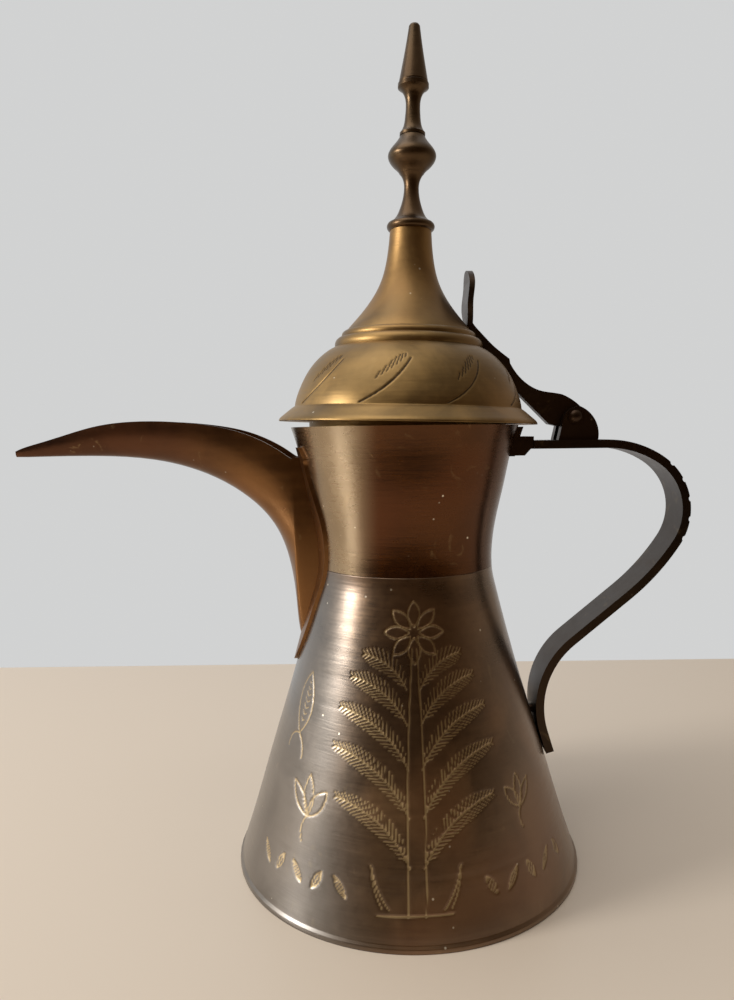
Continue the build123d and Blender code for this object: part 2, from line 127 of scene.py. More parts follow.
# ---- Shader helpers ------------------------------------------------------------------------
class Value:
    """A number socket of a node tree. Arithmetic on it adds Math nodes."""

    def __init__(self, tree, socket):
        self.tree = tree
        self.socket = socket

    def math(self, operation, *others):
        operands = dict(enumerate((self, *others)))
        return self.tree.value("ShaderNodeMath", {"operation": operation}, operands)

    def __add__(self, other):
        return self.math("ADD", other)

    def __mul__(self, other):
        return self.math("MULTIPLY", other)

    def __sub__(self, other):
        return self.math("SUBTRACT", other)

    def __rsub__(self, other):
        return (self * -1.0) + other

    def __truediv__(self, other):
        return self.math("DIVIDE", other)

    def clamped(self):
        return self.math("MAXIMUM", 0.0).math("MINIMUM", 1.0)


class Tree:
    """A node tree being built, for a material, the world or geometry."""

    def __init__(self, tree):
        self.tree = tree

    def node(self, kind, settings=None, sockets=None):
        """Adds one node: its settings first, then the values or links of its sockets."""
        made = self.tree.nodes.new(kind)
        for name, setting in (settings or {}).items():
            setattr(made, name, setting)
        for key, given in (sockets or {}).items():
            self.put(made.inputs[key], given)
        return made

    def value(self, kind, settings=None, sockets=None, output=0):
        return Value(self, self.node(kind, settings, sockets).outputs[output])

    def blend(self, share, first, second):
        """Mixes two colours by a share from 0 to 1."""
        made = self.node("ShaderNodeMix", {"data_type": "RGBA"})
        ends = [socket for socket in made.inputs if socket.type == "RGBA"]
        self.put(made.inputs[0], share)
        self.put(ends[0], first)
        self.put(ends[1], second)
        return next(socket for socket in made.outputs if socket.type == "RGBA")

    def put(self, socket, given):
        """Links a value or a socket into a socket, or sets a constant on it."""
        if isinstance(given, Value):
            self.tree.links.new(given.socket, socket)
        elif isinstance(given, bpy.types.NodeSocket):
            self.tree.links.new(given, socket)
        else:
            socket.default_value = given

    def step(self, value, low, high):
        """0 below low, 1 above high, smooth between them."""
        return self.value(
            "ShaderNodeMapRange", {"interpolation_type": "SMOOTHSTEP"},
            {0: value, 1: low, 2: high, 3: 0.0, 4: 1.0},
        )

    def noise(self, place, scale, detail, distortion=0.0):
        return self.value(
            "ShaderNodeTexNoise", {},
            {"Vector": place, "Scale": scale, "Detail": detail, "Distortion": distortion},
        )

    def axis(self, vector, letter):
        """One part of a vector, as a number."""
        return self.value("ShaderNodeSeparateXYZ", {}, {0: vector}, letter)

    def stretched(self, place, scale):
        """A place with each axis scaled on its own."""
        return self.node("ShaderNodeMapping", {}, {"Vector": place, "Scale": scale}).outputs[0]


def shade(rgb, factor):
    """A colour made darker or lighter, with full alpha."""
    return (*(min(1.0, channel * factor) for channel in rgb), 1.0)


# ---- Finishes: patterns on object coordinates, with scales in patches per metre -------------
WARM_SCALE = 17.0            # large redder spots
CLOUD_SCALE = 38.0
CLUSTER_SCALE = 60.0         # where bright specks gather
CUT_SCALE = 65.0             # where engraved lines show their colour more strongly: dirt on the dome, cleaner metal and painted glints on the skirt
STREAK_SCALE = 95.0
RUB_SCALE = 120.0
SPECK_SCALE = 210.0
MOTTLE_SCALE = 420.0
REDDER = (1.25, 0.86, 0.62)
SPECK_TONE = (0.82, 0.74, 0.58, 1.0)
BUMP_STRENGTH = 0.16
BUMP_DEPTH = 0.4 * MM
FOOT_ZONE = (30 * MM, 90 * MM)      # the metal is dull below the first, clear above the second


def patina_and_side_sheen(tree, place, tone, patina, warmth, side_sheen_and_tone):
    """Patina from dark to light, redder in large spots, with a lighter tone painted on one side: on
    the skirt and neck a painted reflection of the light at the left, on the spout a lighter tone
    towards the neck.
    """
    base = tree.blend(tone, shade(patina, 0.62), shade(patina, 1.5))
    redder = [part * more for part, more in zip(patina, REDDER)]
    spots = tree.step(tree.noise(place, WARM_SCALE, 2.0, 0.4), 0.45, 0.7)
    base = tree.blend(spots * warmth, base, shade(redder, 1.0))
    # The tone on one side is painted: on the skirt and neck it stands in for the reflection of the
    # light at the left.
    if side_sheen_and_tone:
        tint, start, end = side_sheen_and_tone
        share = tree.step(tree.axis(place, "X"), start, end)
        side_sheen_colour = tree.blend(tone, shade(tint, 0.75), shade(tint, 1.25))
        base = tree.blend(share, base, side_sheen_colour)
    return base


def speckle(tree, place, amount):
    """Small bright specks, in loose clusters."""
    dots = tree.value(
        "ShaderNodeTexVoronoi", {"feature": "F1"}, {"Vector": place, "Scale": SPECK_SCALE}
    )
    clusters = tree.step(tree.noise(place, CLUSTER_SCALE, 1.0), 0.56, 0.62)
    return (1 - tree.step(dots, 0.045, 0.1)) * clusters * amount


def aged_brass(
    name, patina, bare, roughness, cloud=0.35, streak=(1, 1, 9), streaks=0.2, warmth=0.35,
    rubbed=0.12, specks=1.0, cuts=None, film=0.3, film_ior=1.5, side_sheen_and_tone=None, dull=0.0,
):
    """Brass under a patina and a thin clear film.

    cloud, streaks and warmth are the strength of the clouds of tone, of the turned or drawn
    streaks and of the redder spots; streak is how much finer the streaks are along each
    axis. rubbed and specks are how much bare metal and how many bright specks show. cuts is
    the colour of engraved lines. The tone on one side is given as a colour and the two places
    along X between which it takes over; on the skirt and neck it is a painted reflection of
    the light at the left. dull is how much rougher the metal gets towards the table.
    """
    material = bpy.data.materials.new(name)
    material.use_nodes = True
    tree = Tree(material.node_tree)
    shader = material.node_tree.nodes["Principled BSDF"]
    place = tree.node("ShaderNodeTexCoord").outputs["Object"]

    clouds = tree.step(tree.noise(place, CLOUD_SCALE, 5.0, 0.6), 0.36, 0.66)
    mottle = tree.noise(place, MOTTLE_SCALE, 4.0)
    lines = tree.noise(tree.stretched(place, streak), STREAK_SCALE, 4.0)
    tone = (clouds * cloud + mottle * 0.3 + lines * streaks).clamped()
    base = patina_and_side_sheen(tree, place, tone, patina, warmth, side_sheen_and_tone)
    rub = tree.step(tree.noise(place, RUB_SCALE, 6.0, 1.5), 0.62, 0.78)
    base = tree.blend(rub * rubbed, base, shade(bare, 0.8))
    fleck = speckle(tree, place, specks)
    base = tree.blend(fleck, base, SPECK_TONE)

    foot = 1 - tree.step(tree.axis(place, "Z"), *FOOT_ZONE)
    rough = mottle * 0.10 + lines * 0.14 + clouds * 0.06 + foot * dull + (roughness - 0.15)
    if cuts:
        cut = tree.value("ShaderNodeAttribute", {"attribute_name": "cut"}, {}, "Fac")
        # The cut colour shows more strongly in some patches than in others: on the dome, dirtier
        # lines; on the skirt, partly cleaner metal and partly painted glints.
        clean_and_glint = tree.noise(place, CUT_SCALE, 2.0) * 0.7 + 0.42
        base = tree.blend((tree.step(cut, 0.12, 0.75) * clean_and_glint).clamped(), base, shade(cuts, 1.0))
        rough = rough + cut * 0.08
    height = mottle * 0.25 + lines * 0.55 + (1 - fleck) * 0.4
    bump = tree.node(
        "ShaderNodeBump", {},
        {"Height": height, "Strength": BUMP_STRENGTH, "Distance": BUMP_DEPTH},
    )
    tree.put(shader.inputs["Base Color"], base)
    tree.put(shader.inputs["Roughness"], rough.clamped())
    tree.put(shader.inputs["Normal"], bump.outputs[0])
    shader.inputs["Metallic"].default_value = 1.0
    shader.inputs["Coat Weight"].default_value = film
    shader.inputs["Coat IOR"].default_value = film_ior
    shader.inputs["Coat Roughness"].default_value = roughness - 0.03
    return material


def finish_settings(colours):
    """What aged_brass is told for each material slot of the frame."""
    return {
        "skirt_brass": dict(
            patina=colours.skirt, roughness=0.30, cloud=0.65, streak=(1, 1, 14), streaks=0.25,
            warmth=0.5, cuts=colours.cut, film=0.8, film_ior=1.7,
            # On the skirt's left side a greyer tone is painted: a painted reflection of the light
            # at the left.
            side_sheen_and_tone=((0.170, 0.146, 0.122), -10 * MM, -30 * MM), dull=0.14,
        ),
        "neck_brass": dict(
            patina=colours.neck, roughness=0.26, streak=(1, 1, 10), warmth=0.6, rubbed=0.2,
            # On the neck's left side a lighter golden tone is painted: a painted highlight from the
            # light at the left.
            film=0.35, film_ior=1.6, side_sheen_and_tone=((0.330, 0.245, 0.150), -9 * MM, -20 * MM),
        ),
        "spout_brass": dict(
            patina=colours.spout, roughness=0.34, cloud=0.6, streak=(0.3, 1.5, 4), streaks=0.7,
            # The beak's colour turns lighter towards the neck.
            rubbed=0.35, specks=0.3, side_sheen_and_tone=((0.185, 0.084, 0.026), -85 * MM, -45 * MM),
        ),
        "handle_brass": dict(
            patina=colours.handle, roughness=0.40, streak=(2, 1, 2), rubbed=0.16, specks=0.2
        ),
        "hinge_brass": dict(patina=colours.handle, roughness=0.38, rubbed=0.25, specks=0.2),
        "lid_brass": dict(
            patina=colours.lid, roughness=0.43, cloud=0.75, streak=(1, 1, 12), rubbed=0.1,
            cuts=colours.dome_cut,
        ),
        "finial_brass": dict(
            patina=colours.finial, roughness=0.36, streak=(1, 1, 22), streaks=0.4, specks=0.0
        ),
        "arm_brass": dict(
            patina=shade(colours.handle, 1.25)[:3], roughness=0.42, rubbed=0.3, specks=0.2
        ),
    }


def finish_of(slot):
    """The finish for a slot, made the first time it is asked for."""
    name = slot.replace("_", " ").capitalize()
    colours = bpy.context.scene.pot_colours
    settings = finish_settings(colours)[slot]
    return bpy.data.materials.get(name) or aged_brass(name, bare=colours.metal, **settings)


def dress(nodes):
    """Gives CAD nodes the finish of their slot."""
    for name in nodes:
        piece = frame["nodes"][name]
        finish = finish_of(SLOT_OF_NODE[name])
        if not piece.material_slots:
            piece.data.materials.append(finish)
        for slot in piece.material_slots:
            slot.material = finish


# ---- Surfaces taken from the frame ---------------------------------------------------------
# The frame's lid leans about the height of its pin and sits a little towards the handle.
PIN_HEIGHT = 157.3 * MM
LID_SHIFT = 1.2 * MM
LID_LEAN = math.radians(1.5)
LID_PLACE = (
    Matrix.Translation((LID_SHIFT, 0, PIN_HEIGHT))
    @ Matrix.Rotation(LID_LEAN, 4, "Y")
    @ Matrix.Translation((0, 0, -PIN_HEIGHT))
)


class TurnedWall:
    """Outer and inner radius of a turned CAD node, read by rays from its own mesh."""

    AZIMUTH = math.radians(-101.3)      # a direction with no bore, between facet edges
    MARGIN = 0.02 * MM                  # kept from both ends of the wall
    REACH = 0.5                         # rays from outside start this far from the axis
    INNER_STEP = 6                      # the inside has a point for every sixth outside

    def __init__(self, node, place=Matrix()):
        mesh = frame["nodes"][node].data
        upright = place.inverted()
        corners = [upright @ vertex.co for vertex in mesh.vertices]
        faces = [tuple(face.vertices) for face in mesh.polygons]
        self.tree = BVHTree.FromPolygons(corners, faces)
        self.low = min(corner.z for corner in corners) + self.MARGIN
        self.high = max(corner.z for corner in corners) - self.MARGIN
        self.out = Vector((math.cos(self.AZIMUTH), math.sin(self.AZIMUTH), 0))

    def outer(self, z):
        z = min(max(z, self.low), self.high)
        hit = self.tree.ray_cast(self.out * self.REACH + Vector((0, 0, z)), -self.out)[0]
        return math.hypot(hit.x, hit.y)

    def inner(self, z):
        hit = self.tree.ray_cast(Vector((0, 0, z)), self.out)[0]
        return math.hypot(hit.x, hit.y)

    def outline(self, heights):
        """Closed outline of the wall: up the outside, down the inside."""
        up = [(self.outer(z), z) for z in heights]
        down = [(self.inner(z), z) for z in heights[::self.INNER_STEP]][::-1]
        return np.array(up + down)


def turned_shell(name, outline, azimuths):
    """A closed ring-shaped mesh: the outline repeated at each azimuth."""
    count = len(outline)
    radius, height = outline[:, 0], outline[:, 1]
    columns = [
        np.stack([radius * math.sin(a), -radius * math.cos(a), height], axis=1)
        for a in azimuths
    ]
    points = np.concatenate(columns)
    faces = []
    for column in range(len(azimuths)):
        here = column * count
        there = ((column + 1) % len(azimuths)) * count
        for row in range(count):
            above = (row + 1) % count
            faces.append((here + row, there + row, there + above, here + above))
    mesh = bpy.data.meshes.new(name)
    mesh.from_pydata(points.tolist(), [], faces)
    mesh.shade_smooth()
    return bpy.data.objects.new(name, mesh)


def spread(start, end, spacing):
    """Evenly spaced values from start up to end, end left out."""
    count = max(1, round((end - start) / spacing))
    return [start + (end - start) * step / count for step in range(count)]


# ---- Engraving: drawn flat in millimetres, then wrapped on a turned wall ---------------------
def bow(start, end, sag, steps=14):
    """Points along a bowed stroke; sag is how far its middle stands off to the left."""
    (x0, y0), (x1, y1) = start, end
    reach = math.hypot(x1 - x0, y1 - y0)
    across = (-(y1 - y0) / reach, (x1 - x0) / reach)
    points = []
    for step in range(steps + 1):
        t = step / steps
        off = 4 * sag * t * (1 - t)
        x = x0 + (x1 - x0) * t + across[0] * off
        y = y0 + (y1 - y0) * t + across[1] * off
        points.append((x, y))
    return points


def leaf(base, tip, width):
    """A pointed leaf's outline, as two bowed strokes."""
    return [bow(base, tip, width), bow(base, tip, -width)]


def flat_curves(name, strokes):
    """A curve object with one straight-run spline for each stroke."""
    curve = bpy.data.curves.new(name, "CURVE")
    curve.dimensions = "3D"
    for stroke in strokes:
        spline = curve.splines.new("POLY")
        spline.points.add(len(stroke) - 1)
        for point, (x, y) in zip(spline.points, stroke):
            point.co = (x, y, 0, 1)
    made = bpy.data.objects.new(name, curve)
    bpy.context.scene.collection.objects.link(made)
    return made


def geometry_tree(name, inputs):
    """A Geometry Nodes tree with named inputs; returns it with its two ends."""
    group = bpy.data.node_groups.new(name, "GeometryNodeTree")
    group.interface.new_socket("Geometry", in_out="INPUT", socket_type="NodeSocketGeometry")
    for label, kind in (*inputs, ("Finish", "NodeSocketMaterial")):
        group.interface.new_socket(label, in_out="INPUT", socket_type=kind)
    group.interface.new_socket("Geometry", in_out="OUTPUT", socket_type="NodeSocketGeometry")
    tree = Tree(group)
    return tree, tree.node("NodeGroupInput"), tree.node("NodeGroupOutput")


def finished(tree, start, end, last):
    """Ends a tree: instances made real and dressed in the finish given to it."""
    real = tree.node("GeometryNodeRealizeInstances", {}, {0: last.outputs[0]})
    dressed = tree.node(
        "GeometryNodeSetMaterial", {},
        {"Geometry": real.outputs[0], "Material": start.outputs["Finish"]},
    )
    tree.tree.links.new(dressed.outputs[0], end.inputs[0])
    return tree.tree


def run_tree(piece, group, values, name):
    """Evaluates a Geometry Nodes tree on a piece and returns a new plain object."""
    modifier = piece.modifiers.new("shape", "NODES")
    modifier.node_group = group
    for item in group.interface.items_tree:
        if item.in_out == "INPUT" and item.name in values:
            modifier[item.identifier] = values[item.name]
    ready = piece.evaluated_get(bpy.context.evaluated_depsgraph_get())
    mesh = bpy.data.meshes.new_from_object(ready)
    mesh.name = name
    piece.modifiers.remove(modifier)
    return bpy.data.objects.new(name, mesh)


def hatching_tree():
    """Short strokes along both sides of a stem, longest at its middle."""
    tree, start, end = geometry_tree("Hatching", (
        ("Pitch", "NodeSocketFloat"), ("Left", "NodeSocketFloat"), ("Right", "NodeSocketFloat"),
        ("Lean", "NodeSocketFloat"), ("From", "NodeSocketFloat"),
    ))
    walk = tree.node(
        "GeometryNodeResampleCurve", {"mode": "LENGTH"},
        {"Curve": start.outputs["Geometry"], "Length": start.outputs["Pitch"]},
    )
    share = tree.value("GeometryNodeSplineParameter", output="Factor")
    swell = (share * math.pi).math("SINE") * 0.75 + 0.3
    tangent = tree.node("GeometryNodeInputTangent")
    parts = tree.node("ShaderNodeSeparateXYZ", {}, {0: tangent.outputs[0]})
    heading = Value(tree, parts.outputs["Y"]).math("ARCTAN2", Value(tree, parts.outputs["X"]))
    stroke = tree.node(
        "GeometryNodeCurvePrimitiveLine", {}, {"Start": (0, 0, 0), "End": (1, 0, 0)}
    )
    fine = tree.node(
        "GeometryNodeResampleCurve", {"mode": "COUNT"},
        {"Curve": stroke.outputs[0], "Count": 5},
    )
    begun = share.math("GREATER_THAN", Value(tree, start.outputs["From"]))
    join = tree.node("GeometryNodeJoinGeometry")
    for side, label in ((1.0, "Left"), (-1.0, "Right")):
        turn = heading + Value(tree, start.outputs["Lean"]) * side
        angle = tree.node("ShaderNodeCombineXYZ", {}, {"Z": turn})
        size = swell * Value(tree, start.outputs[label])
        scale = tree.node("ShaderNodeCombineXYZ", {}, {"X": size, "Y": 1.0, "Z": 1.0})
        placed = tree.node(
            "GeometryNodeInstanceOnPoints", {},
            {
                "Points": walk.outputs[0], "Instance": fine.outputs[0], "Selection": begun,
                "Rotation": angle.outputs[0], "Scale": scale.outputs[0],
            },
        )
        tree.tree.links.new(placed.outputs[0], join.inputs[0])
    real = tree.node("GeometryNodeRealizeInstances", {}, {0: join.outputs[0]})
    wire = tree.node("GeometryNodeCurveToMesh", {}, {"Curve": real.outputs[0]})
    return finished(tree, start, end, wire)


def plain_lines_tree():
    """The long strokes themselves, as edges."""
    tree, start, end = geometry_tree("Plain lines", ())
    wire = tree.node("GeometryNodeCurveToMesh", {}, {"Curve": start.outputs[0]})
    return finished(tree, start, end, wire)


WALL_STEEPNESS = 1.7         # 1 cuts a plain V, more leaves the groove a flat bottom


def engraving_tree():
    """Sinks a surface along strokes that lie on it, and marks how deep it is cut."""
    tree, start, end = geometry_tree("Engraving", (
        ("Strokes", "NodeSocketObject"), ("Width", "NodeSocketFloat"), ("Depth", "NodeSocketFloat"),
    ))
    strokes = tree.node(
        "GeometryNodeObjectInfo", {"transform_space": "ORIGINAL"},
        {"Object": start.outputs["Strokes"]},
    )
    near = tree.value(
        "GeometryNodeProximity", {"target_element": "EDGES"},
        {0: strokes.outputs["Geometry"]}, "Distance",
    )
    half = Value(tree, start.outputs["Width"]) * 0.5
    groove = ((1 - near / half) * WALL_STEEPNESS).clamped()
    before = tree.value("GeometryNodeInputNamedAttribute", {"data_type": "FLOAT"}, {"Name": "cut"})
    marked = tree.node(
        "GeometryNodeStoreNamedAttribute", {"data_type": "FLOAT", "domain": "POINT"},
        {
            "Geometry": start.outputs["Geometry"], "Name": "cut",
            "Value": groove.math("MAXIMUM", before),
        },
    )
    normal = tree.node("GeometryNodeInputNormal").outputs[0]
    sink = groove * Value(tree, start.outputs["Depth"]) * -1.0
    offset = tree.node(
        "ShaderNodeVectorMath", {"operation": "SCALE"}, {0: normal, "Scale": sink}
    )
    sunk = tree.node(
        "GeometryNodeSetPosition", {},
        {"Geometry": marked.outputs[0], "Offset": offset.outputs[0]},
    )
    return finished(tree, start, end, sunk)


def tree_named(name, maker):
    """A tree by its name, made if it isn't there yet."""
    return bpy.data.node_groups.get(name) or maker()


def drawn(strokes):
    """Long strokes as a flat wire mesh."""
    curves = flat_curves("Strokes", strokes)
    wire = run_tree(curves, tree_named("Plain lines", plain_lines_tree), {}, "Lines")
    bpy.data.objects.remove(curves)
    return wire


def hatched(stems, left, right, lean, start=0.0, pitch=None):
    """Short strokes along stems, as a flat wire mesh; lean is in degrees from the stem."""
    pitch = pitch or bpy.context.scene.pot_engraving.hatch_pitch / MM
    curves = flat_curves("Stems", stems)
    values = {
        "Pitch": pitch, "Left": left, "Right": right, "Lean": math.radians(lean), "From": start,
    }
    wire = run_tree(curves, tree_named("Hatching", hatching_tree), values, "Hatch")
    bpy.data.objects.remove(curves)
    return wire


def wrapped(wires, radius_at, name, girth=None):
    """Joins flat wires and lays them on a turned wall, each point at its own height.

    Distances sideways are measured on the wall itself, or on a circle of radius girth.
    """
    points, edges = [], []
    for wire in wires:
        base = len(points)
        for vertex in wire.data.vertices:
            z = vertex.co.y * MM
            radius = radius_at(z)
            azimuth = vertex.co.x * MM / (girth or radius)
            points.append((radius * math.sin(azimuth), -radius * math.cos(azimuth), z))
        edges += [(base + a, base + b) for a, b in (edge.vertices for edge in wire.data.edges)]
        bpy.data.objects.remove(wire)
    mesh = bpy.data.meshes.new(name)
    mesh.from_pydata(points, edges, [])
    made = bpy.data.objects.new(name, mesh)
    bpy.context.scene.collection.objects.link(made)
    return made


def engrave(piece, strokes, width, depth, finish):
    """Cuts strokes into a piece and returns the cut piece in its place."""
    name = piece.name
    bpy.context.scene.collection.objects.link(piece)
    values = {"Strokes": strokes, "Width": width, "Depth": depth, "Finish": finish}
    cut = run_tree(piece, tree_named("Engraving", engraving_tree), values, name)
    bpy.data.objects.remove(piece)
    bpy.data.objects.remove(strokes)
    cut.name = name
    return cut


# ---- The drawing on the skirt: sideways from the front, and up from the floor ----------------
GROUND = 9.4
BLOOM = (1.0, 89.0)          # middle of the flower at the top of the stem
LEAF_PAIRS = (               # height of the pair on the stem, and length of its leaves
    (22.0, 29.0), (35.5, 30.0), (49.0, 27.0), (61.5, 22.0), (72.0, 16.5),
)


def stem_lines():
    """The stem as two strokes that draw together towards the flower."""
    x, z = BLOOM
    return [
        bow((-2.6, GROUND), (x - 0.7, z - 5.0), 0.8, 40),
        bow((2.8, GROUND), (x + 0.7, z - 5.0), -0.8, 40),
    ]


def leaf_ribs():
    """The middle ribs of the paired leaves, which rise outwards from the stem."""
    ribs = []
    for height, size in LEAF_PAIRS:
        for side in (-1, 1):
            foot = (0.4 + side * 2.2, height)
            tip = (foot[0] + side * size * 0.80, height + size * 0.60)
            ribs.append(bow(foot, tip, side * size * 0.13, 24))
    return ribs


def bloom():
    """A round flower of eight petals."""
    x, z = BLOOM
    count, heart, reach = 8, 1.6, 9.6
    petals = []
    for step in range(count):
        turn = 2 * math.pi * step / count
        across, up = math.sin(turn), math.cos(turn)
        petals += leaf(
            (x + heart * across, z + heart * up), (x + reach * across, z + reach * up), 1.9
        )
    return petals


def grass():
    """A tuft of two blades on each side of the stem."""
    blades = []
    for side in (-1, 1):
        tip = (side * 13.7, GROUND + 13.0)
        for foot in (8.5, 10.4):
            blades.append(bow(tip, (side * foot, GROUND + 1.6), side * 0.9))
    return blades


def flower(base, lean, size):
    """An upright flower of three petals on a curled stalk."""
    x, z = base
    petals = []
    for across, up in ((-0.62, 0.72), (0.0, 1.0), (0.62, 0.72)):
        tip = (x + size * (across + lean * up), z + size * up)
        petals += leaf(base, tip, size * 0.17)
    stalk = bow(base, (x - size * lean - 1.0, z - size * 0.62), -1.2)
    return [*petals, stalk]


def flowers():
    """A tulip low at the left and a smaller one out at the right."""
    return [*flower((-37.0, 31.0), 0.1, 12.0), *flower((38.0, 33.0), -0.15, 9.5)]


def side_leaves():
    """An upright leaf out at the left, on a forked stalk."""
    return [
        *leaf((-43.5, 53.0), (-38.0, 72.5), 3.9),
        bow((-43.5, 53.0), (-50.0, 47.5), -1.6),
        bow((-43.5, 53.0), (-41.5, 46.0), 1.4),
    ]


def sprigs():
    """A row of single small leaves near the foot, slanting by turns."""
    strokes = []
    for side in (-1, 1):
        for step in range(5):
            along = side * (24.0 + 8.2 * step)
            slant = 1.9 if step % 2 else -1.9
            foot, tip = (along - slant, 12.4), (along + slant, 17.6)
            strokes += [*leaf(foot, tip, 0.95), bow(foot, tip, 0.0)]
    return strokes


def skirt_lines():
    """The long strokes of the whole drawing."""
    ground = bow((-12.0, GROUND), (11.0, GROUND + 0.4), 0.0, 20)
    return (
        stem_lines() + leaf_ribs() + bloom() + grass() + side_leaves() + flowers() + sprigs()
        + [ground]
    )


def skirt_hatching():
    """The short strokes along the plant's leaves and inside the side leaf."""
    side_rib = bow((-43.0, 55.0), (-38.6, 69.0), -0.4)
    return [
        hatched(leaf_ribs(), left=4.4, right=4.4, lean=46.0, start=0.06),
        hatched([side_rib], left=1.7, right=1.7, lean=50.0, start=0.1, pitch=1.9),
    ]


DOME_GIRTH = 38 * MM         # radius at which distances round the dome are measured
FIRST_FEATHER = -16.5        # foot of the first feather, sideways from the front


def dome_strokes(count, low, high):
    """Feathers round the dome: a bowed stem each, and the line its hatching follows."""
    round_dome = 2 * math.pi * DOME_GIRTH / MM
    stems, quills = [], []
    for step in range(count):
        along = round_dome * step / count + FIRST_FEATHER
        stem = bow((along, low), (along + 15.5, high), -1.6, 20)
        stems.append(stem)
        quills.append(bow((along + 2.6, low + 6.4), (along + 13.4, high + 0.2), -0.5, 16))
    return stems, quills


# ---- Pieces --------------------------------------------------------------------------------
def place_piece(piece, body, slot, *nodes):
    """Links a finished piece, and says what it rides on and stands for. slot is not used."""
    bpy.context.scene.collection.objects.link(piece)
    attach(piece, body)
    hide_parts(*nodes)


class POT_OT_skirt(bpy.types.Operator):
    """Make the engraved skirt with its flowering plant, and dress the base under it"""

    bl_idname = "pot.skirt"
    bl_label = "Skirt and base"

    LIP_HEIGHT = 3.2 * MM
    LIP_STEP = 0.4 * MM
    FRONT = math.radians(66)            # the drawing stays within this turn of the front
    PLAIN_TURN = math.radians(5)        # between columns where nothing is engraved
    COLUMN_RADIUS = 0.80                # share of the middle radius that sets the columns

    def execute(self, context):
        sizes = context.scene.pot_engraving
        wall = TurnedWall("lower_body")
        low, high = wall.low, wall.high
        heights = spread(low, low + self.LIP_HEIGHT, self.LIP_STEP)
        heights += spread(low + self.LIP_HEIGHT, high, sizes.grid)
        heights.append(high)
        fine_turn = sizes.grid / (self.COLUMN_RADIUS * wall.outer((low + high) / 2))
        azimuths = spread(-self.FRONT, self.FRONT, fine_turn)
        azimuths += spread(self.FRONT, 2 * math.pi - self.FRONT, self.PLAIN_TURN)
        blank = turned_shell("engraved_skirt", wall.outline(heights), azimuths)
        finish = finish_of("skirt_brass")
        lines = wrapped([drawn(skirt_lines())], wall.outer, "Skirt lines")
        cut = engrave(blank, lines, sizes.line_width, sizes.depth, finish)
        hatch = wrapped(skirt_hatching(), wall.outer, "Skirt hatching")
        cut = engrave(cut, hatch, sizes.hatch_width, sizes.depth * 0.8, finish)
        place_piece(cut, "pot", "skirt_brass", "lower_body")
        dress(["base_plate"])
        return {"FINISHED"}


class POT_OT_dome(bpy.types.Operator):
    """Make the lid's dome and brim with the feathers round it"""

    bl_idname = "pot.dome"
    bl_label = "Dome"

    BRIM_HEIGHT = 7.0 * MM
    BRIM_STEP = 0.2 * MM
    DOME_STEP = 0.36 * MM
    TURN = math.radians(0.62)           # between columns
    FEATHERS = (5.8, 19.8)              # foot and tip above the brim's edge, in millimetres

    def execute(self, context):
        sizes = context.scene.pot_engraving
        wall = TurnedWall("lid_dome", LID_PLACE)
        low, high = wall.low, wall.high
        heights = spread(low, low + self.BRIM_HEIGHT, self.BRIM_STEP)
        heights += spread(low + self.BRIM_HEIGHT, high, self.DOME_STEP)
        heights.append(high)
        azimuths = spread(0, 2 * math.pi, self.TURN)
        blank = turned_shell("feathered_dome", wall.outline(heights), azimuths)
        finish = finish_of("lid_brass")
        foot, tip = (low / MM + height for height in self.FEATHERS)
        stems, quills = dome_strokes(sizes.dome_leaves, foot, tip)
        lines = wrapped([drawn(stems)], wall.outer, "Dome lines", DOME_GIRTH)
        cut = engrave(blank, lines, sizes.line_width, sizes.depth, finish)
        barbs = hatched(quills, left=4.0, right=0.0, lean=34.0, pitch=1.7)
        hatch = wrapped([barbs], wall.outer, "Dome hatching", DOME_GIRTH)
        cut = engrave(cut, hatch, sizes.hatch_width, sizes.depth * 0.9, finish)
        cut.data.transform(LID_PLACE)
        place_piece(cut, "lid", "lid_brass", "lid_dome")
        return {"FINISHED"}


class POT_OT_neck(bpy.types.Operator):
    """Dress the neck and the beak"""

    bl_idname = "pot.neck"
    bl_label = "Neck and beak"

    def execute(self, context):
        dress(["neck", "spout"])
        return {"FINISHED"}


class POT_OT_handle(bpy.types.Operator):
    """Dress the handle, its block and its fasteners"""

    bl_idname = "pot.handle"
    bl_label = "Handle"

    def execute(self, context):
        dress([name for name in frame["nodes"] if name.startswith("handle_")])
        return {"FINISHED"}


class POT_OT_hinge(bpy.types.Operator):
    """Dress the hinge's ears, pin and washers, and the lid's arm"""

    bl_idname = "pot.hinge"
    bl_label = "Hinge and arm"

    def execute(self, context):
        dress([name for name in frame["nodes"] if name.startswith(("hinge_", "lid_arm"))])
        return {"FINISHED"}


class POT_OT_finial(bpy.types.Operator):
    """Dress the spire and the turned finial on it"""

    bl_idname = "pot.finial"
    bl_label = "Spire and finial"

    def execute(self, context):
        starts = ("lid_collar", "spire", "finial_", "stud_")
        dress([name for name in frame["nodes"] if name.startswith(starts)])
        return {"FINISHED"}


# ---- Stage ---------------------------------------------------------------------------------
FLOOR_SIDES = (-0.9, 0.9)
FLOOR_ENDS = (-0.30, 0.218)  # its edge towards the viewer, and its edge behind the pot
FRONT_TONE = (0.070, 0.040, 0.018, 1.0)
CEILING_TONE = (0.42, 0.38, 0.32, 1.0)
WALL_TONE = (0.62, 0.62, 0.62, 1.0)
RIGHT_WALL_TONE = (0.30, 0.25, 0.20, 1.0)
DAYLIGHT = (1.0, 0.985, 0.96)
WHITE = (1.0, 1.0, 1.0)
LIT_POINT = Vector((0, 0, 0.12))


